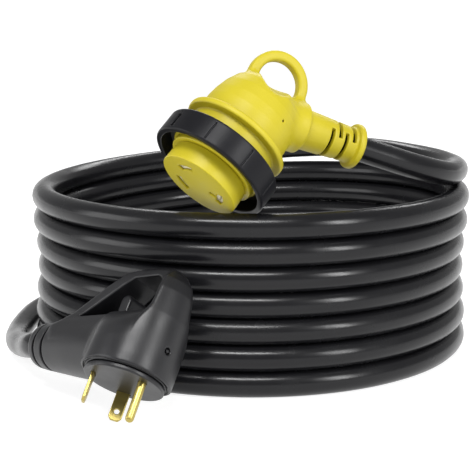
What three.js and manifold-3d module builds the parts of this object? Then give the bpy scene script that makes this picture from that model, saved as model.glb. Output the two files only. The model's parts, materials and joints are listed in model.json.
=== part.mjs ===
// Shore power cord: a 30 A travel-trailer plug, a heavy black cable wound in a tall round coil,
// and a locking connector with a sliding, turning ring that lies on top of the coil.
// Millimetres, +Z up. The floor is z = 0, and the plug and connector are centred over the origin.
import * as THREE from 'three';
import { mergeVertices } from 'three/addons/utils/BufferGeometryUtils.js';
import Module from 'manifold-3d';

const wasm = await Module();
wasm.setup();

// ---- driving dimensions ------------------------------------------------------------------------
const GAP = 0.3;
const CABLE_R = 8.65;
const COIL_R = 155.5;
const COIL_LAYERS = 7;
const LAYER_PITCH = 17.4;
const WAIST = 3.0;
const TOP_LIFT = 4.5;
const TOP_LIFT_TURN = 0.69 * Math.PI;
const TAIL_SIDE_STEP = 17.9;
const TAIL_SIDE_STEP_TURN = 0.36 * Math.PI;
const TAIL_LEFT_STEP = 1.5;
const CORD_SIDES = 10;

// The cable from the connector's boot to the top of the coil, and from the coil's left side to
// the plug's boot, as points on its centre line measured from the coil's centre on the floor.
const LEAD_POINTS = [
  [92.6, -88.5, 148.9], [104.5, -84.2, 144.6], [116.5, -77.9, 140.6], [128.5, -68.3, 136.6],
  [139.0, -55.3, 133.4], [147.0, -38.8, 131.6], [152.8, -20.0, 130.9],
];
const TAIL_POINTS = [
  [-175.0, -24.0, 8.75], [-173.5, -42.0, 9.3], [-169.5, -62.0, 11.2], [-163.5, -81.0, 14.3],
  [-156.0, -98.0, 18.3],
];

// Connector: the face's centre, the nose axis into the body, and the way its boot leaves.
const CONNECTOR_FACE = [-34.6, -152.0, 139.25];
const CONNECTOR_AXIS = [0.5682, 0.4655, 0.6786];
const CONNECTOR_BOOT_WAY = [0.8841, 0.3321, -0.3289];
const NOSE_R = 27.5;
const NOSE_LENGTH = 13.0;
const BEAD_R = 32.2;
const BEAD_START = 18.0;
const BEAD_END = 21.9;
const BARREL_R = 30.0;
const FLANGE_R = 36.5;
const FLANGE_Z = 38.9;
const FLANGE_T = 4.4;
const ELBOW_Z = 63.7;
const DOME_TOP = 85.0;
const CONNECTOR_BOOT_LENGTH = 77.8;
const CONNECTOR_SLOT_U = [52.8, 58.8, 63.8, 69.8];
const CONNECTOR_SLOT_MIDDLES = [-0.2 * Math.PI, -0.87 * Math.PI];
const SPIGOT_R = 21.7;
const SPIGOT_END = 44.0;
const COLLAR_R = 17.2;
const COLLAR_END = 34.0;
const LOOP_X = -0.5;
const LOOP_Z = 89.8;
const LOOP_OUTER_R = 21.9;
const LOOP_INNER_R = 14.9;
const LOOP_WIDTH = 8.0;
const SCOOP_X = -7.0;
const SCOOP_Z = 104.4;
const SCOOP_R = 18.0;
const SCOOP_SLOPE = Math.atan(0.5);

// Locking ring, at rest part of the way back along the barrel.
const RING_FRONT = 11.0;
const RING_BACK = 28.0;
const RING_R = 41.3;
const RING_BORE_R = 37.2;
const RING_LIP_R = 30.6;
const RING_LIP_T = 3.5;
const RING_GROOVES = 9;
const RING_GROOVE_START = -85 * Math.PI / 180;
const RING_NOTCH = -165 * Math.PI / 180;
const SEAL_INNER_R = 33.2;
const SEAL_T = 3.6;

// Contacts sit on one circle: two plain arcs, and the ground's with an inward hook.
const CONTACT_CIRCLE_R = 16.5;
const CONTACTS = [['hot', 1.95], ['neutral', -2.75], ['ground', -0.42]];
const CONTACT_HALF_ANGLE = 0.38;
const SLOT_HALF = 2.3;
const HOOK_R = 8.5;
const HOOK_HALF = 1.9;

// Plug: the face's centre, the axis into the body, and the way its boot leaves.
const PLUG_FACE = [-79.0, -208.9, 24.5];
const PLUG_AXIS = [0.2911, 0.5912, 0.7522];
const PLUG_BOOT_WAY = [-0.730, 0.645, -0.224];
const BOSS_R = 25.6;
const BOSS_STEP = 3.2;
const INSERT_R = 22.0;
const RIM_R = 28.9;
const PLUG_BOOT_RISE = 5.55 * Math.PI / 180;
const PLUG_BOOT_LENGTH = 93.0;
const PLUG_LEAN = 0.055;
const PLUG_BOOT_Z = 20.0;
const PLUG_SLOT_BACK = [7.5, 12.5, 17.5];
const PLUG_SLOT_MIDDLES = [0.37 * Math.PI, -0.8 * Math.PI];
const DIMPLE_TURN = 0.5 * Math.PI;
const DIMPLE_Z = 20.7;
const PIN_X = -17.0;
const PIN_R = 2.65;
const PIN_LENGTH = 25.5;
const BLADE_OFFSET = 13.6;
const BLADE_WIDTH = 8.5;
const BLADE_T = 2.0;
const BLADE_LENGTH = 18.5;
const BLADE_HOLE_R = 1.7;
const BLADE_HOLE_BACK = 6.0;

// Conductors and crimps inside both ends.
const WIRE_R = 2.2;
const STRAND_R = 1.4;
const CRIMP_R = 2.6;
const CRIMP_BORE_R = 1.75;
const WIRE_SPREAD = 3.3;
const JACKET_R = 8.3;
const BORE_R = 8.65;

// ---- geometry helpers --------------------------------------------------------------------------
const point = (x, y, z) => new THREE.Vector3(x, y, z);
const pointOf = (p) => new THREE.Vector3(p[0], p[1], p[2]);

function solidOf(geometry) {
  const bare = geometry.clone();
  bare.deleteAttribute('normal');
  bare.deleteAttribute('uv');
  const merged = mergeVertices(bare, 1e-4);
  const index = merged.index.array;
  const kept = [];
  for (let i = 0; i < index.length; i += 3) {
    const [a, b, c] = index.slice(i, i + 3);
    if (a !== b && b !== c && c !== a) {
      kept.push(a, b, c);
    }
  }
  const vertProperties = Float32Array.from(merged.attributes.position.array);
  return new wasm.Manifold(new wasm.Mesh({ numProp: 3, vertProperties, triVerts: Uint32Array.from(kept) }));
}

function geometryOf(solid) {
  const mesh = solid.getMesh();
  const geometry = new THREE.BufferGeometry();
  geometry.setAttribute('position', new THREE.BufferAttribute(mesh.vertProperties, 3));
  geometry.setIndex(new THREE.BufferAttribute(mesh.triVerts, 1));
  geometry.computeVertexNormals();
  return geometry;
}

function joined(...geometries) {
  return geometries.map(solidOf).reduce((sum, solid) => sum.add(solid));
}

function cutBy(solid, ...geometries) {
  return geometries.map(solidOf).reduce((rest, tool) => rest.subtract(tool), solid);
}

function largestPiece(solid) {
  const pieces = solid.decompose();
  return pieces.reduce((best, piece) => (piece.volume() > best.volume() ? piece : best));
}

// A profile of [radius, height] pairs turned about +Z, run upwards along its outside.
function turned(profile, sides = 40) {
  const outline = profile.map(([r, z]) => new THREE.Vector2(r, z));
  return new THREE.LatheGeometry(outline, sides).rotateX(Math.PI / 2);
}

function rod(radius, low, high, sides = 20) {
  return turned([[0, low], [radius, low], [radius, high], [0, high]], sides);
}

function polygon(points) {
  return new THREE.Shape(points.map(([x, y]) => new THREE.Vector2(x, y)));
}

function prism(shape, low, high, curveSegments = 12) {
  const depth = high - low;
  const geometry = new THREE.ExtrudeGeometry(shape, { depth, bevelEnabled: false, curveSegments });
  return geometry.translate(0, 0, low);
}

function block(lowX, highX, lowY, highY, lowZ, highZ) {
  const geometry = new THREE.BoxGeometry(highX - lowX, highY - lowY, highZ - lowZ);
  return geometry.translate((lowX + highX) / 2, (lowY + highY) / 2, (lowZ + highZ) / 2);
}

// A sector of an annulus around +Z, centred on the angle middle.
function sector(innerR, outerR, middle, halfAngle, low, high) {
  const shape = new THREE.Shape();
  shape.absarc(0, 0, outerR, middle - halfAngle, middle + halfAngle, false);
  shape.absarc(0, 0, innerR, middle + halfAngle, middle - halfAngle, true);
  shape.closePath();
  return prism(shape, low, high, 6);
}

function tube(path, radius, steps, sides) {
  const corners = Array.from({ length: sides }, (_, i) => {
    const angle = 2 * Math.PI * i / sides;
    return [radius * Math.cos(angle), radius * Math.sin(angle)];
  });
  return new THREE.ExtrudeGeometry(polygon(corners), { steps, bevelEnabled: false, extrudePath: path });
}

// An outline drawn in x and z, given a thickness along y.
function plateAlongY(shape, halfThickness, curveSegments = 12) {
  return prism(shape, -halfThickness, halfThickness, curveSegments).rotateX(Math.PI / 2);
}

// An outline drawn in y and z, given a length along x.
function plateAlongX(points, low, high) {
  const geometry = prism(polygon(points), low, high);
  geometry.rotateX(Math.PI / 2);
  return geometry.rotateZ(Math.PI / 2);
}

// Turns what was made about +Z towards +X, and moves it to the height z.
const aimed = (geometry, angleFromZ, z) => geometry.rotateY(angleFromZ).translate(0, 0, z);

function frameAt(origin, axis, towards) {
  const z = pointOf(axis).normalize();
  const way = pointOf(towards);
  const x = way.clone().addScaledVector(z, -way.dot(z)).normalize();
  const y = new THREE.Vector3().crossVectors(z, x);
  return new THREE.Matrix4().makeBasis(x, y, z).setPosition(pointOf(origin));
}

const finishes = {
  yellowPvc: { color: 0xd1c12b, roughness: 0.45, metalness: 0 },
  blackJacket: { color: 0x1c1c1e, roughness: 0.4, metalness: 0 },
  blackPvc: { color: 0x222326, roughness: 0.55, metalness: 0 },
  ringPvc: { color: 0x1f2022, roughness: 0.5, metalness: 0 },
  brass: { color: 0xc9a44c, roughness: 0.3, metalness: 1 },
  rubber: { color: 0x1d1d1f, roughness: 0.8, metalness: 0 },
  whiteWire: { color: 0xe8e8e4, roughness: 0.5, metalness: 0 },
  blackWire: { color: 0x18181a, roughness: 0.5, metalness: 0 },
  greenWire: { color: 0x2c7a3d, roughness: 0.5, metalness: 0 },
};
const WIRE_FINISH = { ground: 'greenWire', neutral: 'whiteWire', hot: 'blackWire' };

function part(name, shape, finish) {
  const geometry = shape.isBufferGeometry ? shape : geometryOf(shape);
  const mesh = new THREE.Mesh(geometry, new THREE.MeshStandardMaterial(finishes[finish]));
  mesh.name = name;
  return mesh;
}

// ---- cord --------------------------------------------------------------------------------------
const layerHeight = (turn) => CABLE_R + (COIL_LAYERS - turn) * LAYER_PITCH;
const eased = (t) => THREE.MathUtils.smoothstep(t, 0, 1);

function onCircle(radius, angle, z) {
  return point(radius * Math.cos(angle), radius * Math.sin(angle), z);
}

// The coil is drawn in by up to WAIST half way up its height.
function waistAt(z) {
  const share = (z - layerHeight(COIL_LAYERS)) / (layerHeight(1) - layerHeight(COIL_LAYERS));
  return WAIST * Math.sin(Math.PI * THREE.MathUtils.clamp(share, 0, 1)) ** 2;
}

// The top turn sinks by one layer along the back half, where part of it lies clear of the turn
// below; the last one runs outside on the floor.
function topTurn(angle) {
  const lift = TOP_LIFT * Math.sin(Math.PI * Math.min(angle / TOP_LIFT_TURN, 1)) ** 4;
  return onCircle(COIL_R, angle, layerHeight(1) + LAYER_PITCH * (1 - eased(angle / Math.PI)) + lift);
}

function floorTurn(angle) {
  const out = TAIL_SIDE_STEP * eased(angle / TAIL_SIDE_STEP_TURN);
  const left = TAIL_LEFT_STEP * eased((angle - TAIL_SIDE_STEP_TURN) / (Math.PI - TAIL_SIDE_STEP_TURN));
  return onCircle(COIL_R + out + left, angle, CABLE_R + 0.1);
}

function cordPath(points) {
  return new THREE.CatmullRomCurve3(points, false, 'centripetal');
}

function connectorBootEnd(frame, beyond) {
  const angle = bootAngle();
  const reach = CONNECTOR_BOOT_LENGTH + beyond;
  return point(Math.sin(angle) * reach, 0, ELBOW_Z + Math.cos(angle) * reach).applyMatrix4(frame);
}

function plugBootEnd(frame, beyond) {
  const reach = PLUG_BOOT_LENGTH + beyond;
  const across = Math.cos(PLUG_BOOT_RISE) * reach;
  return point(across, 0, PLUG_BOOT_Z + Math.sin(PLUG_BOOT_RISE) * reach).applyMatrix4(frame);
}

function leadPoints(frame, overrun) {
  const turns = [];
  const last = 0.97 * Math.PI + overrun / COIL_R;
  for (let i = 0; i <= 14; i += 1) {
    turns.push(topTurn(last * i / 14));
  }
  return [connectorBootEnd(frame, GAP), connectorBootEnd(frame, 12), ...LEAD_POINTS.map(pointOf), ...turns];
}

function tailPoints(frame, overrun) {
  const first = -overrun / COIL_R;
  const turns = [];
  for (let i = 0; i <= 20; i += 1) {
    turns.push(floorTurn(first + (Math.PI - first) * i / 20));
  }
  return [...turns, ...TAIL_POINTS.map(pointOf), plugBootEnd(frame, 12), plugBootEnd(frame, GAP)];
}

function makeCord(connectorFrame, plugFrame) {
  const top = layerHeight(1) + CABLE_R;
  const round = (fromAngle, middleZ) => [0, 1, 2, 3].map((i) => {
    const angle = fromAngle + Math.PI * i / 3;
    return [COIL_R + CABLE_R * Math.cos(angle), middleZ + CABLE_R * Math.sin(angle)];
  });
  const wall = (side, turns) => turns.map((turn) => {
    const z = layerHeight(turn);
    return [COIL_R - waistAt(z) + side * CABLE_R, z];
  });
  const middle = [2.5, 4, 5.5];
  const outline = [
    ...round(-Math.PI, CABLE_R), ...wall(1, middle.toReversed()), ...round(0, top - CABLE_R),
    ...wall(-1, middle),
  ];
  const ring = solidOf(turned([...outline, outline[0]], 48));
  const lead = tube(cordPath(leadPoints(connectorFrame, 0)), CABLE_R, 34, CORD_SIDES);
  const leadBed = tube(cordPath(leadPoints(connectorFrame, GAP)), CABLE_R + GAP, 34, CORD_SIDES);
  const tail = tube(cordPath(tailPoints(plugFrame, 0)), CABLE_R, 40, CORD_SIDES);
  const tailBed = tube(cordPath(tailPoints(plugFrame, GAP)), CABLE_R + GAP, 40, CORD_SIDES);
  const coil = largestPiece(cutBy(ring, leadBed, tailBed));
  const group = new THREE.Group();
  group.add(part('cord_coil', coil, 'blackJacket'));
  group.add(part('cord_connector_lead', lead, 'blackJacket'));
  group.add(part('cord_plug_lead', tail, 'blackJacket'));
  return group;
}

// ---- pieces that both ends share ---------------------------------------------------------------
// Cuts shaped like the letter C across a boot, alternately about the two given angles, for bending.
function bootSlots(distances, middles, outerR, width) {
  return distances.map((u, i) => (
    sector(10, outerR, middles[i % 2], 0.4 * Math.PI, u - width / 2, u + width / 2)
  ));
}

// One conductor: bare strands inside the crimp, then insulation that bends into the jacket.
function conductor(start, through, end) {
  const path = cordPath([start, start.clone().add(point(0, 0, 4)), ...through, end]);
  const insulation = tube(path, WIRE_R, 10, 8);
  const strands = rod(STRAND_R, start.z - 6, start.z + 1, 8).translate(start.x, start.y, 0);
  return joined(insulation, strands);
}

function crimpBarrel(x, y, low, high) {
  const barrel = solidOf(rod(CRIMP_R, low, high, 14).translate(x, y, 0));
  return cutBy(barrel, rod(CRIMP_BORE_R, high - 7.5, high + 1, 12).translate(x, y, 0));
}

// ---- connector ---------------------------------------------------------------------------------
function bootAngle() {
  const axis = pointOf(CONNECTOR_AXIS).normalize();
  return axis.angleTo(pointOf(CONNECTOR_BOOT_WAY));
}

function connectorBody() {
  const flangeEnd = FLANGE_Z + FLANGE_T;
  const front = NOSE_LENGTH + GAP;
  const shell = turned([
    [0, front], [BARREL_R - 0.9, front], [BARREL_R, front + 0.7], [BARREL_R, BEAD_START],
    [BEAD_R, BEAD_START + 0.9], [BEAD_R, BEAD_END - 1], [BEAD_R - 1, BEAD_END],
    [BARREL_R, BEAD_END], [BARREL_R, FLANGE_Z], [FLANGE_R - 0.6, FLANGE_Z], [FLANGE_R, FLANGE_Z + 0.6],
    [FLANGE_R, flangeEnd - 0.6], [FLANGE_R - 0.6, flangeEnd], [31, flangeEnd], [31, 53], [30.2, 60],
    [28.3, 68], [25.2, 75.5], [21, 80.5], [15, 84], [8, DOME_TOP], [0, DOME_TOP],
  ]);
  const end = CONNECTOR_BOOT_LENGTH;
  const boot = turned([
    [0, 0], [COLLAR_R, 0], [COLLAR_R, COLLAR_END - 3], [COLLAR_R - 1, COLLAR_END], [13.6, COLLAR_END + 1.5],
    [12.0, end - 5.8], [15.5, end - 4.4], [15.5, end - 0.5], [15, end], [0, end],
  ], 28);
  const loop = new THREE.Shape();
  loop.absarc(LOOP_X, LOOP_Z, LOOP_OUTER_R, 0, 2 * Math.PI, false);
  const loopHole = new THREE.Shape();
  loopHole.absarc(LOOP_X, LOOP_Z, LOOP_INNER_R, 0, 2 * Math.PI, false);
  const band = cutBy(solidOf(plateAlongY(loop, LOOP_WIDTH / 2, 14)), plateAlongY(loopHole, LOOP_WIDTH, 14));
  const scoops = [1, -1].map((side) => {
    const scoop = rod(SCOOP_R, 0, 60, 36).rotateX(-side * (Math.PI / 2 + SCOOP_SLOPE));
    return scoop.translate(SCOOP_X, 0, SCOOP_Z);
  });
  const angle = bootAngle();
  const dome = cutBy(solidOf(shell), ...scoops);
  const outside = dome.add(solidOf(aimed(boot, angle, ELBOW_Z))).add(band);
  const slots = bootSlots(CONNECTOR_SLOT_U, CONNECTOR_SLOT_MIDDLES, 22, 2.8);
  const room = turned([[0, front - 1], [SPIGOT_R + GAP, front - 1], [SPIGOT_R + GAP, 52], [12, 64], [0, 64]]);
  return cutBy(
    outside, room, rod(9, 50, ELBOW_Z), new THREE.SphereGeometry(9, 16, 10).translate(0, 0, ELBOW_Z),
    aimed(rod(BORE_R, 0, end + 1), angle, ELBOW_Z), ...slots.map((slot) => aimed(slot, angle, ELBOW_Z)),
  );
}

const contactPlace = (angle) => [CONTACT_CIRCLE_R * Math.cos(angle), CONTACT_CIRCLE_R * Math.sin(angle)];

// The hook runs from the contact's arc towards the middle, by the end of the arc.
function hookBlock(angle, spare, low, high) {
  const half = HOOK_HALF + spare;
  return block(HOOK_R - spare, CONTACT_CIRCLE_R, -half, half, low, high).rotateZ(angle);
}

function connectorNose() {
  const body = solidOf(turned([
    [0, 0], [NOSE_R - 0.5, 0], [NOSE_R, 0.5], [NOSE_R - 0.4, NOSE_LENGTH], [SPIGOT_R, NOSE_LENGTH],
    [SPIGOT_R, SPIGOT_END], [0, SPIGOT_END],
  ]));
  const cuts = [];
  CONTACTS.forEach(([name, angle]) => {
    const [x, y] = contactPlace(angle);
    const r = CONTACT_CIRCLE_R;
    cuts.push(sector(r - SLOT_HALF, r + SLOT_HALF, angle, CONTACT_HALF_ANGLE, -1, 1.6));
    cuts.push(sector(r - 2.7, r + 2.7, angle, CONTACT_HALF_ANGLE + 0.08, 1.4, 28.3));
    cuts.push(rod(CRIMP_R + GAP, 28, SPIGOT_END + 1).translate(x, y, 0));
    if (name === 'ground') {
      cuts.push(hookBlock(angle, 0, -1, 1.6), hookBlock(angle, 1.1, 1.4, 12.3));
    }
  });
  return cutBy(body, ...cuts);
}

function connectorContact(name, angle) {
  const [x, y] = contactPlace(angle);
  const r = CONTACT_CIRCLE_R;
  const slit = sector(r - 0.6, r + 0.6, angle, CONTACT_HALF_ANGLE - 0.05, 0, 25);
  let clip = solidOf(sector(r - 2.3, r + 2.3, angle, CONTACT_HALF_ANGLE + 0.04, 1.8, 28));
  if (name === 'ground') {
    clip = clip.add(solidOf(hookBlock(angle, 0.7, 1.8, 12)));
  }
  return cutBy(clip, slit).add(crimpBarrel(x, y, 27, 40));
}

function makeConnector(frame) {
  const group = new THREE.Group();
  group.applyMatrix4(frame);
  group.add(part('connector_body', connectorBody(), 'yellowPvc'));
  group.add(part('connector_nose', connectorNose(), 'yellowPvc'));
  const angle = bootAngle();
  const along = (u, side, y) => point(
    Math.sin(angle) * u + Math.cos(angle) * side, y, ELBOW_Z + Math.cos(angle) * u - Math.sin(angle) * side,
  );
  CONTACTS.forEach(([name, place], i) => {
    group.add(part(`connector_contact_${name}`, connectorContact(name, place), 'brass'));
    const [x, y] = contactPlace(place);
    const spot = 2 * Math.PI * i / 3 + Math.PI / 2;
    const side = WIRE_SPREAD * Math.cos(spot);
    const across = WIRE_SPREAD * Math.sin(spot);
    const through = [along(6, side, across), along(16, side, across)];
    const wire = conductor(point(x, y, 40 + GAP), through, along(26 - GAP, side, across));
    group.add(part(`connector_wire_${name}`, wire, WIRE_FINISH[name]));
  });
  const jacket = aimed(rod(JACKET_R, 26, CONNECTOR_BOOT_LENGTH - GAP), angle, ELBOW_Z);
  group.add(part('connector_jacket_end', jacket, 'blackJacket'));
  group.add(part('ring_seal', ringSeal(), 'rubber'));
  group.add(part('locking_ring', lockingRing(), 'ringPvc'));
  return group;
}

// ---- locking ring ------------------------------------------------------------------------------
function ringSeal() {
  const back = RING_BACK - RING_LIP_T - GAP;
  const outerR = RING_BORE_R - GAP;
  const low = back - SEAL_T;
  const outline = [[SEAL_INNER_R, low], [outerR, low], [outerR, back], [SEAL_INNER_R, back]];
  return turned([...outline, outline[0]], 40);
}

function lockingRing() {
  const lip = RING_BACK - RING_LIP_T;
  const outline = [
    [RING_BORE_R, RING_FRONT], [RING_R - 0.8, RING_FRONT], [RING_R, RING_FRONT + 0.8],
    [RING_R, RING_BACK - 1.2], [RING_R - 1.2, RING_BACK], [RING_LIP_R, RING_BACK], [RING_LIP_R, lip],
    [RING_BORE_R, lip],
  ];
  const ring = solidOf(turned([...outline, outline[0]], 48));
  const grooves = [];
  for (let i = 0; i < RING_GROOVES; i += 1) {
    const groove = block(RING_R - 0.7, RING_R + 1, -0.4, 0.4, RING_FRONT + 2, RING_BACK - 2.5);
    grooves.push(groove.rotateZ(RING_GROOVE_START + 2 * Math.PI * i / RING_GROOVES));
  }
  const notch = block(RING_R - 1.6, RING_R + 1, -1.6, 1.6, RING_FRONT + 2, RING_BACK - 5);
  return cutBy(ring, ...grooves, notch.rotateZ(RING_NOTCH));
}

// ---- plug --------------------------------------------------------------------------------------
function handleOutline() {
  const outline = new THREE.Shape();
  outline.moveTo(-34, 28);
  outline.lineTo(-34, 66);
  outline.quadraticCurveTo(-32, 77.6, -14, 77.6);
  outline.lineTo(8, 78);
  outline.quadraticCurveTo(17, 78, 22, 74.2);
  outline.lineTo(55, 48.4);
  outline.quadraticCurveTo(62, 43, 70, 38);
  outline.lineTo(66, 28);
  outline.closePath();
  const grip = new THREE.Path();
  grip.moveTo(-20.8, 45);
  grip.quadraticCurveTo(-21.5, 41, -17, 41);
  grip.lineTo(50, 41.4);
  grip.quadraticCurveTo(53, 41.6, 50, 43.6);
  grip.lineTo(12, 66);
  grip.quadraticCurveTo(8, 68.4, 4, 68.4);
  grip.lineTo(-7, 68.4);
  grip.quadraticCurveTo(-17, 68.4, -17, 59);
  grip.closePath();
  outline.holes.push(grip);
  return outline;
}

function gripRib() {
  const rib = new THREE.Shape();
  rib.moveTo(12.5, 38);
  rib.lineTo(21.5, 38);
  rib.lineTo(21.5, 54);
  rib.absarc(17, 54, 4.5, 0, Math.PI, false);
  rib.closePath();
  return plateAlongY(rib, 8);
}

function plugBody() {
  const front = BOSS_STEP + GAP;
  const lean = new THREE.Matrix4().makeShear(0, 0, 0, 0, -PLUG_LEAN, 0);
  const barrel = turned([
    [0, front], [RIM_R - 0.8, front], [RIM_R, front + 0.8], [RIM_R, 10], [28.4, 25], [27.7, 41], [0, 41],
  ]).applyMatrix4(lean);
  const envelope = turned([
    [0, 20], [28.5, 20], [27.7, 41], [25.4, 58], [23, 66], [18, 72.5], [10, 76.8], [0, 78.2],
  ]).applyMatrix4(lean);
  const leftHalf = block(0, 80, -16, 16, 25, 82);
  const nearRight = block(-40, -20.9, 0, 30, -1, 79);
  const sides = plateAlongX([
    [-30, -1], [30, -1], [30, 21], [28.2, 26], [25.8, 31], [22, 36], [18, 40], [15, 45], [13.5, 64],
    [11, 73], [6, 78.6], [-3, 78.6], [-6.5, 73], [-11, 64], [-15, 45], [-18, 40], [-22, 36], [-25.8, 31],
    [-28.2, 26], [-30, 21],
  ], -40, 80);
  const flattened = joined(sides, nearRight);
  const handle = solidOf(plateAlongY(handleOutline(), 30, 6)).intersect(flattened);
  const end = PLUG_BOOT_LENGTH;
  const boot = turned([
    [0, 0], [19.9, 0], [19.9, 22], [18.4, 50], [15.9, 84], [14.9, end - 3.5], [12.4, end], [0, end],
  ], 28);
  const tilt = Math.PI / 2 - PLUG_BOOT_RISE;
  const outside = solidOf(barrel).intersect(flattened)
    .add(joined(aimed(boot, tilt, PLUG_BOOT_Z), gripRib()))
    .add(handle.intersect(joined(envelope, leftHalf)));
  const slots = bootSlots(PLUG_SLOT_BACK.map((back) => end - back), PLUG_SLOT_MIDDLES, 22, 2.4);
  const groove = [[25.9, front - 1], [27.2, front - 1], [27.2, front + 1.4], [25.9, front + 1.4]];
  const dimple = rod(1.7, 26, 40, 16).rotateX(-Math.PI / 2);
  return largestPiece(cutBy(
    outside, rod(BOSS_R + GAP, -1, front, 40), rod(INSERT_R + GAP, 0, 36, 40), turned([...groove, groove[0]]),
    aimed(rod(BORE_R, 0, end + 1), tilt, PLUG_BOOT_Z),
    ...slots.map((slot) => aimed(slot, tilt, PLUG_BOOT_Z)),
    dimple.rotateZ(DIMPLE_TURN).translate(0, 0, DIMPLE_Z),
  ));
}

// The two blades stand on a 45 degree slant; their middles lie at the same distance from centre.
const BLADES = [['hot', 1], ['neutral', -1]];
const bladeTurn = (side) => side * Math.PI / 4 + Math.PI / 2;
const bladeAt = (made, side) => made.rotateZ(bladeTurn(side)).translate(BLADE_OFFSET, side * BLADE_OFFSET, 0);

function plugFace() {
  const body = solidOf(turned([
    [0, 0], [BOSS_R - 0.7, 0], [BOSS_R, 0.7], [BOSS_R, BOSS_STEP], [INSERT_R, BOSS_STEP], [INSERT_R, 14],
    [0, 14],
  ]));
  const cuts = BLADES.map(([, side]) => bladeAt(block(
    -BLADE_WIDTH / 2 - GAP, BLADE_WIDTH / 2 + GAP, -BLADE_T / 2 - GAP, BLADE_T / 2 + GAP, -1, 15,
  ), side));
  return cutBy(body, ...cuts, rod(PIN_R + GAP, -1, 15).translate(PIN_X, 0, 0));
}

function plugBlade(side) {
  const half = BLADE_WIDTH / 2;
  const tip = -BLADE_LENGTH;
  const outline = polygon([
    [-half, 14.4], [-half, tip + 2.2], [-half + 1.8, tip], [half - 1.8, tip], [half, tip + 2.2], [half, 14.4],
  ]);
  const hole = rod(BLADE_HOLE_R, -3, 3, 20).rotateX(Math.PI / 2).translate(0, 0, tip + BLADE_HOLE_BACK);
  const crimp = crimpBarrel(0, 0, 14, 25);
  const flat = cutBy(solidOf(plateAlongY(outline, BLADE_T / 2)), hole);
  return bladeAt(geometryOf(flat.add(crimp)), side);
}

function plugPin() {
  const tip = -PIN_LENGTH;
  const pin = turned([
    [0, tip], [1.2, tip + 0.3], [2.1, tip + 1.1], [PIN_R, tip + 2.6], [PIN_R, 14.4], [0, 14.4],
  ], 24);
  return solidOf(pin).add(crimpBarrel(0, 0, 14, 25));
}

function makePlug(frame) {
  const group = new THREE.Group();
  group.applyMatrix4(frame);
  group.add(part('plug_body', plugBody(), 'blackPvc'));
  group.add(part('plug_face', plugFace(), 'blackPvc'));
  BLADES.forEach(([name, side]) => group.add(part(`plug_blade_${name}`, plugBlade(side), 'brass')));
  const pin = part('plug_ground_pin', plugPin(), 'brass');
  pin.position.x = PIN_X;
  group.add(pin);
  const far = BLADE_OFFSET;
  const starts = { ground: [PIN_X, 0], neutral: [far, -far], hot: [far, far] };
  const rise = PLUG_BOOT_RISE;
  const along = (u, lift, y) => point(
    Math.cos(rise) * u - Math.sin(rise) * lift, y, PLUG_BOOT_Z + Math.sin(rise) * u + Math.cos(rise) * lift,
  );
  Object.entries(starts).forEach(([name, [x, y]], i) => {
    const spot = 2 * Math.PI * i / 3 + Math.PI / 2;
    const lift = WIRE_SPREAD * Math.sin(spot);
    const across = WIRE_SPREAD * Math.cos(spot);
    const wire = conductor(point(x, y, 25 + GAP), [along(24, lift, across)], along(34 - GAP, lift, across));
    group.add(part(`plug_wire_${name}`, wire, WIRE_FINISH[name]));
  });
  const jacket = aimed(rod(JACKET_R, 34, PLUG_BOOT_LENGTH - GAP), Math.PI / 2 - rise, PLUG_BOOT_Z);
  group.add(part('plug_jacket_end', jacket, 'blackJacket'));
  return group;
}

// ---- assembly ----------------------------------------------------------------------------------
// The plug stands on the tip of its lowest blade, so its face's height follows from its own shape.
function standing(makeAt, face, axis, way) {
  const trial = makeAt(frameAt(face, axis, way));
  const low = new THREE.Box3().setFromObject(trial, true).min.z;
  return frameAt([face[0], face[1], face[2] - low], axis, way);
}

const connectorFrame = frameAt(CONNECTOR_FACE, CONNECTOR_AXIS, CONNECTOR_BOOT_WAY);
const plugFrame = standing(makePlug, PLUG_FACE, PLUG_AXIS, PLUG_BOOT_WAY);
const cordSet = new THREE.Group();
cordSet.add(makePlug(plugFrame), makeConnector(connectorFrame));
const span = new THREE.Box3().setFromObject(cordSet, true);
cordSet.add(makeCord(connectorFrame, plugFrame));
cordSet.position.set(-(span.min.x + span.max.x) / 2, -(span.min.y + span.max.y) / 2, 0);

const root = new THREE.Group();
root.add(cordSet);
export default root;
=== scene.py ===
"""Shore power cord: the looks of its plug, coiled cable and locking connector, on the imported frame."""
import json
from math import atan, cos, pi, radians, sin

import bpy
import numpy as np
from mathutils import Matrix, Vector


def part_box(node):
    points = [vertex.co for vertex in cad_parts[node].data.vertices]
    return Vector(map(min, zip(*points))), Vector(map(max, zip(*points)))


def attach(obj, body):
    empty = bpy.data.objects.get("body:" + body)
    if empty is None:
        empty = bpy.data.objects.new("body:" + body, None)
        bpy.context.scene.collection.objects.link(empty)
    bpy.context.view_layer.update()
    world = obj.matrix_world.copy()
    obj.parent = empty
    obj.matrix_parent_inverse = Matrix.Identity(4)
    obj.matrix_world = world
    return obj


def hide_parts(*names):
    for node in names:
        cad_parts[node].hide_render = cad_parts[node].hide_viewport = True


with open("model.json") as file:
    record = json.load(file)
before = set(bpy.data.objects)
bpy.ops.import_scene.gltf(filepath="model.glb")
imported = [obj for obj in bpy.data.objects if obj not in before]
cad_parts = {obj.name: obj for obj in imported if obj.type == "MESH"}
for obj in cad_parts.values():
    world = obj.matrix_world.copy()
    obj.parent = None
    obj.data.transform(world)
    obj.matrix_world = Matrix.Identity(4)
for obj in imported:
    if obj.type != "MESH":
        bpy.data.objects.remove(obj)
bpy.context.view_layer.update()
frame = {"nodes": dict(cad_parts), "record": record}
record = frame["record"]

MM = 0.001

# ---- the frame's own places --------------------------------------------------------------------
coil_low, coil_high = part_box("cord_coil")
COIL_CENTRE = Vector(((coil_low[0] + coil_high[0]) / 2, (coil_low[1] + coil_high[1]) / 2, 0))
MOUNTS = {mount["name"]: mount for mount in record["mounts"]}


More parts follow.
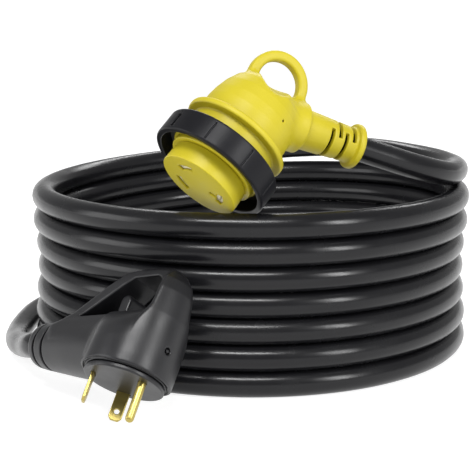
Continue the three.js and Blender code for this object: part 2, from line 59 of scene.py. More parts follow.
def frame_at(mount, towards):
    """A matrix from a device's own millimetres to the row frame: +Z runs from its face into its body."""
    z = -Vector(mount["axis"]).normalized()
    way = Vector(towards)
    x = (way - z * way.dot(z)).normalized()
    y = z.cross(x)
    turn = Matrix((x, y, z)).transposed().to_4x4()
    return Matrix.Translation(Vector(mount["pos_m"])) @ turn @ Matrix.Scale(MM, 4)


CONNECTOR_BOOT_WAY = (0.8841, 0.3321, -0.3289)
PLUG_BOOT_WAY = (-0.730, 0.645, -0.224)
CONNECTOR = frame_at(MOUNTS["connector_face_seat"], CONNECTOR_BOOT_WAY)
PLUG = frame_at(MOUNTS["plug_face_seat"], PLUG_BOOT_WAY)

# ---- dimensions shared with the CAD model, in millimetres --------------------------------------
GAP = 0.3
CABLE_R = 8.65
SHOWN_CABLE_R = 8.78
COIL_R = 155.5
COIL_LAYERS = 7
LAYER_PITCH = 17.4
WAIST = 3.0
WANDER = 0.5
TOP_LIFT = 4.5
TOP_LIFT_TURN = 0.69 * pi
TAIL_SIDE_STEP = 17.9
TAIL_SIDE_STEP_TURN = 0.36 * pi
TAIL_LEFT_STEP = 1.5
BORE_R = 8.65
STRAIGHT_END = 12.0
TURN_STEPS = 24
FLOOR_STEPS = 20
ROUTE_STEP = 7.0

NOSE_R = 27.5
NOSE_LENGTH = 13.0
BEAD_R = 32.2
BEAD_START = 18.0
BEAD_END = 21.9
BARREL_R = 30.0
FLANGE_R = 36.5
FLANGE_Z = 38.9
FLANGE_T = 4.4
ELBOW_Z = 63.7
CONNECTOR_BOOT_LENGTH = 77.8
CONNECTOR_BOOT_ANGLE = Vector(MOUNTS["connector_face_seat"]["axis"]).angle(-Vector(CONNECTOR_BOOT_WAY))
CONNECTOR_SLOT_U = (52.8, 58.8, 63.8, 69.8)
CONNECTOR_SLOT_MIDDLES = (-0.2 * pi, -0.87 * pi)
SPIGOT_R = 21.7
SPIGOT_END = 44.0
COLLAR_R = 17.2
COLLAR_END = 34.0
LOOP_X = -0.5
LOOP_Z = 89.8
LOOP_OUTER_R = 21.9
LOOP_INNER_R = 14.9
LOOP_WIDTH = 8.0
SCOOP_X = -7.0
SCOOP_Z = 104.4
SCOOP_R = 18.0
SCOOP_SLOPE = atan(0.5)
VENT_X = 10.9
VENT_Z = 60.5
VENT_R = 0.9
VENT_FLOOR = 24.0

RING_FRONT = 11.0
RING_BACK = 28.0
RING_R = 41.3
RING_BORE_R = 37.2
RING_LIP_R = 30.6
RING_LIP_T = 3.5
RING_GROOVES = 9
RING_GROOVE_START = radians(-85)
RING_NOTCH = radians(-165)

CONTACT_CIRCLE_R = 16.5
CONTACT_ANGLES = (1.95, -2.75, -0.42)
CONTACT_HALF_ANGLE = 0.38
SLOT_HALF = 2.3
HOOK_R = 8.5
HOOK_HALF = 1.9
CRIMP_R = 2.6

BOSS_R = 25.6
BOSS_STEP = 3.2
INSERT_R = 22.0
RIM_R = 28.9
PLUG_BOOT_ANGLE = pi / 2 - radians(5.55)
PLUG_BOOT_LENGTH = 93.0
PLUG_LEAN = 0.055
PLUG_BOOT_Z = 20.0
PLUG_SLOT_BACK = (7.5, 12.5, 17.5)
PLUG_SLOT_MIDDLES = (0.37 * pi, -0.8 * pi)
DIMPLE_Z = 20.7
PIN_X = -17.0
PIN_R = 2.65
PIN_LENGTH = 25.5
BLADE_OFFSET = 13.6
BLADE_WIDTH = 8.5
BLADE_T = 2.0
BLADE_LENGTH = 18.5
BLADE_HOLE_R = 1.7
BLADE_HOLE_BACK = 6.0

# The cable's route between the devices and the coil, as in the CAD model, from the coil's centre.
LEAD_POINTS = (
    (92.6, -88.5, 148.9), (104.5, -84.2, 144.6), (116.5, -77.9, 140.6), (128.5, -68.3, 136.6),
    (139.0, -55.3, 133.4), (147.0, -38.8, 131.6), (152.8, -20.0, 130.9),
)
TAIL_POINTS = (
    (-175.0, -24.0, 8.75), (-173.5, -42.0, 9.3), (-169.5, -62.0, 11.2), (-163.5, -81.0, 14.3),
    (-156.0, -98.0, 18.3),
)


# ---- camera ------------------------------------------------------------------------------------
CAMERA_FROM_COIL = Vector((-0.01012, -0.9, 0.2525))
CAMERA_DOWN = radians(11.09)
CAMERA_LENS = 90.5


def make_camera():
    data = bpy.data.cameras.new("camera")
    data.lens = CAMERA_LENS
    data.sensor_width = 36.0
    data.clip_end = 100.0
    camera = bpy.data.objects.new("camera", data)
    bpy.context.scene.collection.objects.link(camera)
    camera.location = COIL_CENTRE + CAMERA_FROM_COIL
    camera.rotation_euler = (pi / 2 - CAMERA_DOWN, 0, 0)
    bpy.context.scene.camera = camera


make_camera()


# ---- node materials ----------------------------------------------------------------------------
def noise(nodes, links, vector, scale, detail):
    texture = nodes.new("ShaderNodeTexNoise")
    texture.inputs["Scale"].default_value = scale
    texture.inputs["Detail"].default_value = detail
    links.new(vector, texture.inputs["Vector"])
    return texture.outputs["Fac"]


def spread(nodes, links, value, low, high):
    """Maps a noise value from its usual 0.3 to 0.7 onto low to high."""
    node = nodes.new("ShaderNodeMapRange")
    node.inputs["From Min"].default_value = 0.3
    node.inputs["From Max"].default_value = 0.7
    node.inputs["To Min"].default_value = low
    node.inputs["To Max"].default_value = high
    links.new(value, node.inputs["Value"])
    return node.outputs["Result"]


def moulded(name, light, dark, roughness, grain_scale, grain_depth, metallic=0.0, specular=0.5, mottle=14.0):
    """A surface with slow colour variation, uneven gloss, and a fine grain in its bump."""
    material = bpy.data.materials.new(name)
    material.use_nodes = True
    nodes = material.node_tree.nodes
    links = material.node_tree.links
    shader = nodes["Principled BSDF"]
    place = nodes.new("ShaderNodeTexCoord").outputs["Object"]
    ramp = nodes.new("ShaderNodeValToRGB")
    ramp.color_ramp.elements[0].position = 0.32
    ramp.color_ramp.elements[0].color = (*dark, 1)
    ramp.color_ramp.elements[1].position = 0.68
    ramp.color_ramp.elements[1].color = (*light, 1)
    links.new(noise(nodes, links, place, mottle, 4), ramp.inputs["Fac"])
    links.new(ramp.outputs["Color"], shader.inputs["Base Color"])
    scuffs = noise(nodes, links, place, 55.0, 6)
    links.new(spread(nodes, links, scuffs, roughness[0], roughness[1]), shader.inputs["Roughness"])
    bump = nodes.new("ShaderNodeBump")
    bump.inputs["Strength"].default_value = 0.6
    bump.inputs["Distance"].default_value = grain_depth
    links.new(noise(nodes, links, place, grain_scale, 3), bump.inputs["Height"])
    links.new(bump.outputs["Normal"], shader.inputs["Normal"])
    shader.inputs["Metallic"].default_value = metallic
    shader.inputs["Specular IOR Level"].default_value = specular
    return material


# Each finish has its two colours, its range of roughness, and the scale and depth in metres of its grain.
FINISHES = {
    "connector_pvc": dict(
        light=(0.46, 0.385, 0.012), dark=(0.41, 0.34, 0.009), roughness=(0.42, 0.54),
        grain_scale=900, grain_depth=0.0001, specular=0.35,
    ),
    "plug_pvc": dict(
        light=(0.011, 0.011, 0.013), dark=(0.007, 0.007, 0.008), roughness=(0.32, 0.42),
        grain_scale=1100, grain_depth=0.00008, specular=0.4,
    ),
    "cable_jacket": dict(
        light=(0.008, 0.008, 0.009), dark=(0.005, 0.005, 0.006), roughness=(0.20, 0.29),
        grain_scale=650, grain_depth=0.00004, specular=0.28,
    ),
    "ring_plastic": dict(
        light=(0.008, 0.008, 0.010), dark=(0.005, 0.005, 0.006), roughness=(0.32, 0.42),
        grain_scale=1300, grain_depth=0.00008, specular=0.14,
    ),
    "contact_brass": dict(
        light=(0.50, 0.41, 0.14), dark=(0.38, 0.30, 0.08), roughness=(0.30, 0.44),
        grain_scale=500, grain_depth=0.00003, metallic=1.0, mottle=60.0,
    ),
    # Near-white, part-metal brass: a painted reflection, paler than the blades so that the nose's contacts
    # look lit inside their slots.
    "brass_with_painted_reflection": dict(
        light=(0.95, 0.92, 0.78), dark=(0.88, 0.84, 0.66), roughness=(0.45, 0.6),
        grain_scale=500, grain_depth=0.00003, metallic=0.6, mottle=60.0,
    ),
    "seal_rubber": dict(
        light=(0.022, 0.022, 0.022), dark=(0.014, 0.014, 0.014), roughness=(0.62, 0.78),
        grain_scale=900, grain_depth=0.0001,
    ),
}
WIRE_COLOURS = {
    "wire_green": ((0.03, 0.22, 0.07), (0.02, 0.16, 0.05)),
    "wire_white": ((0.82, 0.82, 0.80), (0.74, 0.74, 0.72)),
    "wire_black": ((0.02, 0.02, 0.02), (0.014, 0.014, 0.014)),
}
MATERIALS = {name: moulded(name, **finish) for name, finish in FINISHES.items()}
for name, (light, dark) in WIRE_COLOURS.items():
    MATERIALS[name] = moulded(name, light, dark, roughness=(0.4, 0.5), grain_scale=700, grain_depth=0.00005)


# ---- cord --------------------------------------------------------------------------------------
def eased(t):
    t = min(max(t, 0.0), 1.0)
    return t * t * (3 - 2 * t)


def layer_height(turn):
    return CABLE_R + (COIL_LAYERS - turn) * LAYER_PITCH


def waist_at(z):
    share = (z - layer_height(COIL_LAYERS)) / (layer_height(1) - layer_height(COIL_LAYERS))
    return WAIST * sin(pi * min(max(share, 0.0), 1.0)) ** 2


def on_circle(radius, angle, z):
    return Vector((radius * cos(angle), radius * sin(angle), z))


def wound_point(angle):
    """The cable sinks by one layer along each turn's back half, and lies level along its front half.

    Its top turn rises a little on its way round the back, and every turn wanders in and out by up to WANDER.
    """
    turn, rest = divmod(angle, 2 * pi)
    z = layer_height(1) + LAYER_PITCH * (1 - turn - eased(rest / pi))
    z += TOP_LIFT * sin(pi * min(angle / TOP_LIFT_TURN, 1.0)) ** 4
    wander = WANDER * sin(1.7 * turn + 0.5) * sin(rest + 1.1 * turn) ** 2
    return on_circle(COIL_R - waist_at(z) + wander, angle, z)


def floor_point(angle):
    out = TAIL_SIDE_STEP * eased(angle / TAIL_SIDE_STEP_TURN)
    left = TAIL_LEFT_STEP * eased((angle - TAIL_SIDE_STEP_TURN) / (pi - TAIL_SIDE_STEP_TURN))
    return on_circle(COIL_R + out + left, angle, CABLE_R + 0.1)


def boot_point(place, height, angle, reach):
    """A point on a boot's axis, given in its device's own millimetres, as a point from the coil's centre."""
    world = place @ Vector((sin(angle) * reach, 0, height + cos(angle) * reach))
    return (world - COIL_CENTRE) / MM


def smooth_line(points, step):
    """A centripetal Catmull-Rom curve through the points, sampled about every step millimetres."""
    ends = [points[0] * 2 - points[1], *points, points[-1] * 2 - points[-2]]
    line = []
    for a, b, c, d in zip(ends, ends[1:], ends[2:], ends[3:]):
        knots = [0.0]
        for p, q in ((a, b), (b, c), (c, d)):
            knots.append(knots[-1] + (q - p).length ** 0.5)
        t0, t1, t2, t3 = knots
        count = max(1, round((c - b).length / step))
        for i in range(count):
            t = t1 + (t2 - t1) * i / count
            ab = a * ((t1 - t) / (t1 - t0)) + b * ((t - t0) / (t1 - t0))
            bc = b * ((t2 - t) / (t2 - t1)) + c * ((t - t1) / (t2 - t1))
            cd = c * ((t3 - t) / (t3 - t2)) + d * ((t - t2) / (t3 - t2))
            abc = ab * ((t2 - t) / (t2 - t0)) + bc * ((t - t0) / (t2 - t0))
            bcd = bc * ((t3 - t) / (t3 - t1)) + cd * ((t - t1) / (t3 - t1))
            line.append(abc * ((t2 - t) / (t2 - t1)) + bcd * ((t - t1) / (t2 - t1)))
    return [*line, points[-1]]


def cord_route():
    """The cable's whole centre line: it leaves and enters each boot along the boot's own axis."""
    exit_end = [
        boot_point(CONNECTOR, ELBOW_Z, CONNECTOR_BOOT_ANGLE, CONNECTOR_BOOT_LENGTH + beyond)
        for beyond in (GAP, STRAIGHT_END)
    ]
    plug_end = [
        boot_point(PLUG, PLUG_BOOT_Z, PLUG_BOOT_ANGLE, PLUG_BOOT_LENGTH + beyond)
        for beyond in (STRAIGHT_END, GAP)
    ]
    wound = [wound_point(2 * pi * i / TURN_STEPS) for i in range(COIL_LAYERS * TURN_STEPS)]
    on_floor = [floor_point(pi * i / FLOOR_STEPS) for i in range(FLOOR_STEPS + 1)]
    points = [*exit_end, *map(Vector, LEAD_POINTS), *wound, *on_floor, *map(Vector, TAIL_POINTS), *plug_end]
    return [COIL_CENTRE + point * MM for point in smooth_line(points, ROUTE_STEP)]


def make_cord():
    route = cord_route()
    data = bpy.data.curves.new("cable", "CURVE")
    data.dimensions = "3D"
    data.bevel_depth = SHOWN_CABLE_R * MM
    data.bevel_resolution = 8
    data.use_fill_caps = True
    spline = data.splines.new("POLY")
    spline.points.add(len(route) - 1)
    for point, place in zip(spline.points, route):
        point.co = (*place, 1)
    spline.use_smooth = True
    data.materials.append(MATERIALS["cable_jacket"])
    cable = bpy.data.objects.new("cable", data)
    bpy.context.scene.collection.objects.link(cable)
    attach(cable, "cord_set")
    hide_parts("cord_coil", "cord_connector_lead", "cord_plug_lead")
    length = sum((b - a).length for a, b in zip(route, route[1:]))
    print("cable length", round(length, 3))
    return cable, route[0]


cable, cable_exit = make_cord()


# ---- solids as distance fields -----------------------------------------------------------------
# Each moulded piece is a field that is negative inside; overlapping shapes blend with a fillet.
def blend_union(a, b, fillet):
    share = np.clip(0.5 + 0.5 * (b - a) / fillet, 0, 1)
    return b * (1 - share) + a * share - fillet * share * (1 - share)


def blend_common(a, b, fillet):
    return -blend_union(-a, -b, fillet)


def blend_cut(a, tool, fillet):
    return blend_common(a, -tool, fillet)


def round_box(across, along, half_across, half_along, corner):
    """A rectangle about zero with rounded corners, from two coordinates."""
    p = np.abs(across) - half_across + corner
    q = np.abs(along) - half_along + corner
    return np.minimum(np.maximum(p, q), 0) + np.hypot(np.maximum(p, 0), np.maximum(q, 0)) - corner


def disc(r, z, radius, low, high, corner):
    return round_box(r, z - (low + high) / 2, radius, (high - low) / 2, corner)


STEEPEST = 2.0


def profile(r, z, heights, radii, corner):
    """A turned shape whose radius follows its height, with rounded end edges."""
    slopes = np.gradient(np.array(radii, float), np.array(heights, float))
    steep = np.interp(z, heights, 1 / np.sqrt(1 + np.minimum(slopes ** 2, STEEPEST ** 2)))
    side = (r - np.interp(z, heights, radii)) * steep
    return blend_common(side, np.maximum(heights[0] - z, z - heights[-1]), corner)


def polygon(x, y, corners):
    """The distance to a closed outline, negative inside."""
    best = np.full(x.shape, 1e6, x.dtype)
    inside = np.zeros(x.shape, bool)
    for (ax, ay), (bx, by) in zip(corners, corners[1:] + corners[:1]):
        ex, ey = bx - ax, by - ay
        wx, wy = x - ax, y - ay
        t = np.clip((wx * ex + wy * ey) / (ex * ex + ey * ey), 0, 1)
        best = np.minimum(best, (wx - ex * t) ** 2 + (wy - ey * t) ** 2)
        crosses = (ay > y) != (by > y)
        inside ^= crosses & (wx < ex * wy / (ey if ey else 1e-9))
    return np.where(inside, -1, 1) * np.sqrt(best)


def arc_slot(r, angle, middle, half_angle, inner, outer):
    """A curved slot on a circle, seen along its axis, with square ends."""
    off = np.abs((angle - middle + pi) % (2 * pi) - pi)
    return np.maximum(np.abs(r - (inner + outer) / 2) - (outer - inner) / 2, (off - half_angle) * r)


def along_boot(x, z, height, angle):
    """Coordinates along a boot and across it, towards the side that faces the device's front."""
    return sin(angle) * x + cos(angle) * (z - height), cos(angle) * x - sin(angle) * (z - height)


def boot_slots(u, v, y, distances, middles, width):
    field = np.full(u.shape, 1e3, u.dtype)
    r, angle = np.hypot(v, y), np.arctan2(y, v)
    for i, distance in enumerate(distances):
        cut = arc_slot(r, angle, middles[i % 2], 0.4 * pi, BORE_R - 0.5, 30)
        field = np.minimum(field, np.maximum(cut, np.abs(u - distance) - width / 2))
    return field


# ---- surfaces from fields ----------------------------------------------------------------------
CORNERS = [(i, j, k) for i in (0, 1) for j in (0, 1) for k in (0, 1)]
EDGES = [(a, b) for a in CORNERS for b in CORNERS if a < b and sum(abs(p - q) for p, q in zip(a, b)) == 1]


def cell_corner(grid, corner):
    i, j, k = corner
    nx, ny, nz = grid.shape
    return grid[i:nx - 1 + i, j:ny - 1 + j, k:nz - 1 + k]


def surface(field, low, high, step):
    """Vertices and quads of the field's zero surface, one vertex in each cell that it passes through."""
    axes = [np.arange(a, b + step, step, dtype=np.float64) for a, b in zip(low, high)]
    values = field(*np.meshgrid(*axes, indexing="ij"))
    inside = values < 0
    count = sum(cell_corner(inside, corner).astype(np.int8) for corner in CORNERS)
    active = (count > 0) & (count < 8)
    number = np.full(active.shape, -1, np.int64)
    number[active] = np.arange(active.sum())
    total = np.zeros((active.sum(), 3))
    hits = np.zeros(active.sum())
    for a, b in EDGES:
        fa, fb = cell_corner(values, a)[active], cell_corner(values, b)[active]
        crossed = (fa < 0) != (fb < 0)
        share = np.where(crossed, fa / np.where(crossed, fa - fb, 1), 0)
        spot = np.array(a) + share[:, None] * (np.array(b) - np.array(a))
        total += np.where(crossed[:, None], spot, 0)
        hits += crossed
    cells = np.argwhere(active)
    points = np.array(low) + (cells + total / hits[:, None]) * step
    quads = []
    for axis in range(3):
        first = np.take(inside, np.arange(inside.shape[axis] - 1), axis)
        second = np.take(inside, np.arange(1, inside.shape[axis]), axis)
        for outward, crossing in ((True, first & ~second), (False, second & ~first)):
            spots = np.argwhere(crossing)
            side, other = (axis + 1) % 3, (axis + 2) % 3
            keep = (spots[:, side] > 0) & (spots[:, other] > 0)
            keep &= (spots[:, side] < number.shape[side]) & (spots[:, other] < number.shape[other])
            spots = spots[keep]
            ring = []
            for da, db in ((0, 0), (1, 0), (1, 1), (0, 1)):
                cell = spots.copy()
                cell[:, side] -= 1 - da
                cell[:, other] -= 1 - db
                ring.append(number[cell[:, 0], cell[:, 1], cell[:, 2]])
            quads.append(np.stack(ring if outward else ring[::-1], 1))
    return settle(points, field, step), np.concatenate(quads)


def settle(points, field, step):
    """Moves the vertices onto the zero surface along the field's slope."""
    reach = 0.05
    for _ in range(2):
        value = field(*points.T)
        slope = np.stack([
            (field(*(points + reach * axis).T) - value) / reach for axis in np.eye(3)
        ], 1)
        size = np.maximum((slope ** 2).sum(1), 0.25)
        move = -(value / size)[:, None] * slope
        length = np.maximum(np.linalg.norm(move, axis=1), 1e-9)
        points = points + move * np.minimum(1, 0.5 * step / length)[:, None]
    return points


def shell(name, field, low, high, step, place, body, slot, *nodes):
    points, quads = surface(field, low, high, step)
    matrix = np.array(place)
    points = points @ matrix[:3, :3].T + matrix[:3, 3]
    mesh = bpy.data.meshes.new(name)
    mesh.vertices.add(len(points))
    mesh.vertices.foreach_set("co", points.astype(np.float32).ravel())
    mesh.loops.add(quads.size)
    mesh.loops.foreach_set("vertex_index", quads.astype(np.int32).ravel())
    mesh.polygons.add(len(quads))
    mesh.polygons.foreach_set("loop_start", np.arange(0, quads.size, 4, dtype=np.int32))
    mesh.update(calc_edges=True)
    mesh.validate()
    mesh.shade_smooth()
    mesh.materials.append(MATERIALS[slot])
    piece = bpy.data.objects.new(name, mesh)
    bpy.context.scene.collection.objects.link(piece)
    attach(piece, body)
    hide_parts(*nodes)
    return piece


# ---- connector ---------------------------------------------------------------------------------
def connector_shell(x, y, z):
    r = np.hypot(x, y)
    front = NOSE_LENGTH + GAP
    barrel = disc(r, z, BARREL_R, front, FLANGE_Z + 3, 0.8)
    bead = disc(r, z, BEAD_R, BEAD_START, BEAD_END, 1.0)
    flange = disc(r, z, FLANGE_R, FLANGE_Z, FLANGE_Z + FLANGE_T, 1.4)
    heights = (30, 43, 53, 60, 68, 75.5, 80.5, 84, 85.2)
    radii = (29, 31, 31, 30.2, 28.3, 25.2, 21, 15, 8)
    dome = profile(r, z, heights, radii, 3.0)
    body = blend_union(np.minimum(bead, barrel), flange, 1.0)
    body = blend_union(body, dome, 1.2)
    u, v = along_boot(x, z, ELBOW_Z, CONNECTOR_BOOT_ANGLE)
    across = np.hypot(v, y)
    collar = disc(across, u, COLLAR_R, -6, COLLAR_END, 1.6)
    cone = profile(across, u, (10, 36, 72, 76), (14.2, 13.6, 12.0, 12.0), 0.5)
    lip = disc(across, u, 15.5, CONNECTOR_BOOT_LENGTH - 4.8, CONNECTOR_BOOT_LENGTH, 1.9)
    body = blend_union(body, collar, 5.0)
    slope = np.abs(y) * sin(SCOOP_SLOPE) + (z - SCOOP_Z) * cos(SCOOP_SLOPE)
    body = blend_cut(body, np.hypot(x - SCOOP_X, slope) - SCOOP_R, 1.4)
    body = blend_union(body, cone, 1.8)
    body = blend_union(body, lip, 2.2)
    ring = np.hypot(x - LOOP_X, z - LOOP_Z) - (LOOP_OUTER_R + LOOP_INNER_R) / 2
    band = (LOOP_OUTER_R - LOOP_INNER_R) / 2
    loop = round_box(ring, y, band, LOOP_WIDTH / 2, 2.2)
    body = blend_union(body, loop, 4.0)
    body = blend_cut(body, boot_slots(u, v, y, CONNECTOR_SLOT_U, CONNECTOR_SLOT_MIDDLES, 2.8), 0.4)
    body = blend_cut(body, disc(across, u, BORE_R, 22, CONNECTOR_BOOT_LENGTH + 5, 0.1), 0.5)
    vent = np.hypot(x - VENT_X, z - VENT_Z) - VENT_R
    body = np.maximum(body, -np.maximum(vent, y + VENT_FLOOR))
    return np.maximum(body, -disc(r, z, SPIGOT_R + GAP, 0, 50, 0.1))


def nose_shell(x, y, z):
    r, angle = np.hypot(x, y), np.arctan2(y, x)
    drum = profile(r, z, (0, NOSE_LENGTH), (NOSE_R, NOSE_R - 0.4), 0.7)
    body = np.minimum(drum, disc(r, z, SPIGOT_R, 3, SPIGOT_END, 0.4))
    c = CONTACT_CIRCLE_R
    for middle in CONTACT_ANGLES:
        slot = arc_slot(r, angle, middle, CONTACT_HALF_ANGLE, c - SLOT_HALF, c + SLOT_HALF)
        pocket = arc_slot(r, angle, middle, CONTACT_HALF_ANGLE + 0.08, c - 2.7, c + 2.7)
        pocket = np.maximum(pocket, np.abs(z - 14.85) - 13.45)
        if middle == CONTACT_ANGLES[-1]:
            out, side = x * cos(middle) + y * sin(middle), -x * sin(middle) + y * cos(middle)
            hook = np.abs(out - (HOOK_R + c) / 2) - (c - HOOK_R) / 2
            slot = np.minimum(slot, np.maximum(hook, np.abs(side) - HOOK_HALF))
            room = np.maximum(hook - 1.1, np.abs(side) - HOOK_HALF - 1.1)
            pocket = np.minimum(pocket, np.maximum(room, np.abs(z - 6.85) - 5.45))
        body = blend_cut(body, np.maximum(slot, np.abs(z) - 1.6), 0.3)
        body = np.maximum(body, -pocket)
        hole = np.hypot(x - c * cos(middle), y - c * sin(middle)) - CRIMP_R - GAP
        body = np.maximum(body, -np.maximum(hole, 27 - z))
    return body


def ring_shell(x, y, z):
    r, angle = np.hypot(x, y), np.arctan2(y, x)
    body = disc(r, z, RING_R, RING_FRONT, RING_BACK, 1.3)
    pitch = 2 * pi / RING_GROOVES
    off = np.abs((angle - RING_GROOVE_START + pitch / 2) % pitch - pitch / 2) * r
    groove = np.maximum(off - 0.4, np.abs(z - 19.2) - 6.4)
    body = blend_cut(body, np.maximum(groove, RING_R - 0.7 - r), 0.3)
    off = np.abs((angle - RING_NOTCH + pi) % (2 * pi) - pi) * r
    notch = np.maximum(off - 1.6, np.abs(z - 18.0) - 5.0)
    body = blend_cut(body, np.maximum(notch, RING_R - 1.6 - r), 0.4)
    body = blend_cut(body, disc(r, z, RING_BORE_R, RING_FRONT - 9, RING_BACK - RING_LIP_T, 0.5), 0.7)
    return blend_cut(body, r - RING_LIP_R, 0.7)


# ---- plug --------------------------------------------------------------------------------------
PLUG_OUTLINE = [
    (-36, -5), (-36, 78), (9, 78), (22, 74.2), (56, 47.6), (74, 35.5), (66, 26), (34, 26), (34, -5),
]
GRIP_OUTLINE = [(-24, 41.5), (49, 41.5), (10.5, 67.9), (-24, 67.9)]
GRIP_X = 16.8
GRIP_Z = 54.7
GRIP_HALF_LENGTH = 38.3
GRIP_HALF_HEIGHT = 13.7
GRIP_LEAN = 0.14
GRIP_CORNER = 10.0
RIB_X = 17.0
RIB_HALF = 4.5
RIB_TOP = 54.0


def plug_solid(x, y, z):
    """The leaning column and the arm beside it, narrowed on both sides towards the top."""
    front = BOSS_STEP + GAP
    heights = (front, 5, 10, 25, 41, 58, 66, 72, 76, 78.2)
    radii = (RIM_R, RIM_R, RIM_R, 28.4, 27.7, 25.4, 23, 18.5, 12.5, 5)
    column = profile(np.hypot(x + PLUG_LEAN * z, y), z, heights, radii, 1.2)
    arm = np.maximum(np.maximum(-x, 26 - z), np.abs(y) - 16)
    heights = (20, 26, 31, 36, 40, 45, 64, 73, 78.6)
    right = np.clip((-18 - x) / 8, 0, 1) * 12
    near = y - right - np.interp(z, heights, (30, 28.2, 25.8, 22, 18, 15, 13.5, 11, 6))
    far = -y - np.interp(z, heights, (30, 28.2, 25.8, 22, 18, 15, 11, 6.5, 3))
    body = blend_common(blend_union(column, arm, 3.0), np.maximum(near, far) * 0.8, 6.0)
    return blend_common(body, polygon(x, z, PLUG_OUTLINE), 4.0)


def grip_opening(x, z):
    slot = round_box(
        x - GRIP_X - GRIP_LEAN * (z - GRIP_Z + GRIP_HALF_HEIGHT), z - GRIP_Z,
        GRIP_HALF_LENGTH, GRIP_HALF_HEIGHT, GRIP_CORNER,
    )
    return np.maximum(polygon(x, z, GRIP_OUTLINE), slot)


def grip_rib(x, y, z):
    """An upright rib across the grip, with a round top."""
    post = np.maximum(np.maximum(np.abs(x - RIB_X) - RIB_HALF, 36 - z), z - RIB_TOP)
    rib = np.minimum(post, np.hypot(x - RIB_X, z - RIB_TOP) - RIB_HALF)
    return blend_common(rib, np.abs(y) - 8, 2.0)


def plug_dimple(body, x, y, z):
    """A round pit in the side away from the boot, with a small stud standing in it."""
    across = np.hypot(y, z - DIMPLE_Z)
    body = blend_cut(body, np.maximum(across - 2.2, x + 26.6), 0.8)
    return blend_union(body, np.maximum(across - 1.1, np.maximum(-x - 29.6, x + 25)), 0.5)


def plug_shell(x, y, z):
    r = np.hypot(x, y)
    front = BOSS_STEP + GAP
    body = plug_solid(x, y, z)
    u, v = along_boot(x, z, PLUG_BOOT_Z, PLUG_BOOT_ANGLE)
    across = np.hypot(v, y)
    boot = profile(across, u, (0, 22, 50, 84, PLUG_BOOT_LENGTH), (19.8, 19.8, 18.3, 15.9, 14.8), 2.6)
    body = blend_union(body, boot, 4.0)
    body = blend_cut(body, grip_opening(x, z), 1.4)
    body = blend_union(body, grip_rib(x, y, z), 2.0)
    distances = [PLUG_BOOT_LENGTH - back for back in PLUG_SLOT_BACK]
    body = blend_cut(body, boot_slots(u, v, y, distances, PLUG_SLOT_MIDDLES, 2.4), 0.4)
    body = blend_cut(body, disc(across, u, BORE_R, 22, PLUG_BOOT_LENGTH + 5, 0.1), 0.5)
    body = np.maximum(body, -disc(r, z, BOSS_R + GAP, -20, front, 0.1))
    body = np.maximum(body, -disc(r, z, INSERT_R + GAP, -20, 34, 0.1))
    groove = round_box(r - 26.6, z - front, 0.65, 1.4, 0.3)
    return plug_dimple(blend_cut(body, groove, 0.4), x, y, z)


def plug_face_shell(x, y, z):
    r = np.hypot(x, y)
    body = disc(r, z, BOSS_R, 0, BOSS_STEP, 0.9)
    body = np.minimum(body, disc(r, z, INSERT_R, 1, 14, 0.4))
    for side in (1, -1):
        across, through = blade_axes(x, y, side)
        slot = round_box(across, through, BLADE_WIDTH / 2 + GAP, BLADE_T / 2 + GAP, 0.2)
        body = blend_cut(body, slot, 0.3)
    return blend_cut(body, np.hypot(x - PIN_X, y) - PIN_R - GAP, 0.3)


def blade_axes(x, y, side):
    """Coordinates across a blade's width and through its thickness; blades stand square to their radius."""
    a, b = x - BLADE_OFFSET, y - side * BLADE_OFFSET
    turn = side * pi / 4 + pi / 2
    return a * cos(turn) + b * sin(turn), -a * sin(turn) + b * cos(turn)


def crimp_shell(across, z):
    barrel = disc(across, z, CRIMP_R, 14, 25, 0.4)
    return np.maximum(barrel, -disc(across, z, 1.75, 17.5, 30, 0.1))


def blade_shell(side):
    def field(x, y, z):
        across, through = blade_axes(x, y, side)
        tip = -BLADE_LENGTH
        half = BLADE_WIDTH / 2
        outline = [(-half, 14.4), (-half, tip + 2.2), (-half + 1.8, tip)]
        outline += [(-p, q) for p, q in reversed(outline)]
        flat = blend_common(polygon(across, z, outline), np.abs(through) - BLADE_T / 2, 0.6)
        hole = np.hypot(across, z - tip - BLADE_HOLE_BACK) - BLADE_HOLE_R
        crimp = crimp_shell(np.hypot(across, through), z)
        return np.minimum(blend_cut(flat, hole, 0.3), crimp)
    return field


def pin_shell(x, y, z):
    r = np.hypot(x - PIN_X, y)
    round_end = np.hypot(r, np.minimum(z + PIN_LENGTH - PIN_R, 0)) - PIN_R
    return np.minimum(np.maximum(round_end, z - 14.4), crimp_shell(r, z))


# ---- pieces ------------------------------------------------------------------------------------
DETAIL = 1.0


def make_pieces():
    shell("connector_moulding", connector_shell, (-39, -39, 7), (84, 39, 113), 0.62 * DETAIL, CONNECTOR,
          "cord_set", "connector_pvc", "connector_body")
    shell("connector_nose_moulding", nose_shell, (-30, -30, -2), (30, 30, 46), 0.42 * DETAIL, CONNECTOR,
          "cord_set", "connector_pvc", "connector_nose")
    shell("locking_ring_moulding", ring_shell, (-43, -43, 9), (43, 43, 30), 0.42 * DETAIL, CONNECTOR,
          "locking_ring", "ring_plastic", "locking_ring")
    shell("plug_moulding", plug_shell, (-36, -32, 1), (110, 32, 82), 0.6 * DETAIL, PLUG,
          "cord_set", "plug_pvc", "plug_body")
    shell("plug_face_moulding", plug_face_shell, (-28, -28, -2), (28, 28, 16), 0.42 * DETAIL, PLUG,
          "cord_set", "plug_pvc", "plug_face")
    near = BLADE_OFFSET - 6
    far = BLADE_OFFSET + 6
    for name, side in (("hot", 1), ("neutral", -1)):
        low_y, high_y = (near, far) if side > 0 else (-far, -near)
        shell(f"{name}_blade", blade_shell(side), (near, low_y, -20), (far, high_y, 27), 0.25 * DETAIL, PLUG,
              "cord_set", "contact_brass", f"plug_blade_{name}")
    shell("ground_pin", pin_shell, (PIN_X - 4, -4, -27), (PIN_X + 4, 4, 27), 0.25 * DETAIL, PLUG,
          "cord_set", "contact_brass", "plug_ground_pin")


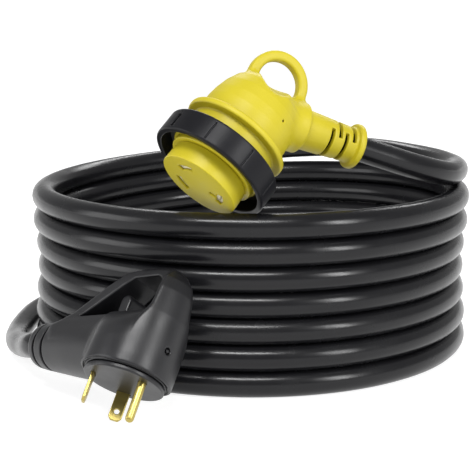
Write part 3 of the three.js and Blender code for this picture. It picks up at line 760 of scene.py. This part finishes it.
def finish_nodes():
    """The frame's own nodes stay as they are, in the finish of their slots; the nose's contacts get a
    near-white brass, a painted reflection that makes them look lit deep inside their slots.
    """
    slots = {entry["node"]: entry["material_slot"] for entry in record["subparts"]}
    for name, node in frame["nodes"].items():
        finish = "brass_with_painted_reflection" if name.startswith("connector_contact") else slots[name]
        node.data.materials.clear()
        node.data.materials.append(MATERIALS[finish])


make_pieces()
finish_nodes()


# ---- floor and light ---------------------------------------------------------------------------
FLOOR_HALF = 20.0
WALL_HEIGHT = 2.5


def make_floor():
    """A wide pale floor with low pale walls round it, which close off the horizon."""
    mesh = bpy.data.meshes.new("floor")
    square = [(-1, -1), (1, -1), (1, 1), (-1, 1)]
    corners = [(x * FLOOR_HALF, y * FLOOR_HALF, z) for z in (0, WALL_HEIGHT) for x, y in square]
    walls = [(i, i + 4, (i + 1) % 4 + 4, (i + 1) % 4) for i in range(4)]
    mesh.from_pydata(corners, [], [(0, 1, 2, 3), *walls])
    material = bpy.data.materials.new("floor")
    material.use_nodes = True
    shader = material.node_tree.nodes["Principled BSDF"]
    shader.inputs["Base Color"].default_value = (0.4, 0.4, 0.4, 1)
    shader.inputs["Roughness"].default_value = 0.9
    shader.inputs["Specular IOR Level"].default_value = 0.1
    shader.inputs["Emission Color"].default_value = (1, 1, 1, 1)
    shader.inputs["Emission Strength"].default_value = 0.84
    mesh.materials.append(material)
    floor = bpy.data.objects.new("floor", mesh)
    bpy.context.scene.collection.objects.link(floor)


def softbox(name, place, size, power):
    """A rectangular area light that looks at the middle of the coil."""
    data = bpy.data.lights.new(name, "AREA")
    data.shape = "RECTANGLE"
    data.size, data.size_y = size
    data.energy = power
    light = bpy.data.objects.new(name, data)
    bpy.context.scene.collection.objects.link(light)
    light.location = COIL_CENTRE + Vector(place)
    aim = COIL_CENTRE + Vector((0, 0, 0.08)) - light.location
    light.rotation_euler = aim.to_track_quat("-Z", "Y").to_euler()


def make_light():
    world = bpy.context.scene.world or bpy.data.worlds.new("world")
    bpy.context.scene.world = world
    world.use_nodes = True
    background = world.node_tree.nodes["Background"]
    background.inputs["Color"].default_value = (1, 1, 1, 1)
    background.inputs["Strength"].default_value = 0.4
    softbox("key_light", (-0.15, -0.9, 1.3), (0.8, 0.17), 17)
    softbox("back_light", (0.2, 1.2, 1.1), (1.2, 0.25), 9)
    softbox("right_light", (1.1, -1.1, 0.75), (0.25, 0.7), 13)
    softbox("left_light", (-1.4, -0.4, 0.6), (0.9, 0.8), 8)
    bpy.context.scene.view_settings.view_transform = "Standard"


make_floor()
make_light()
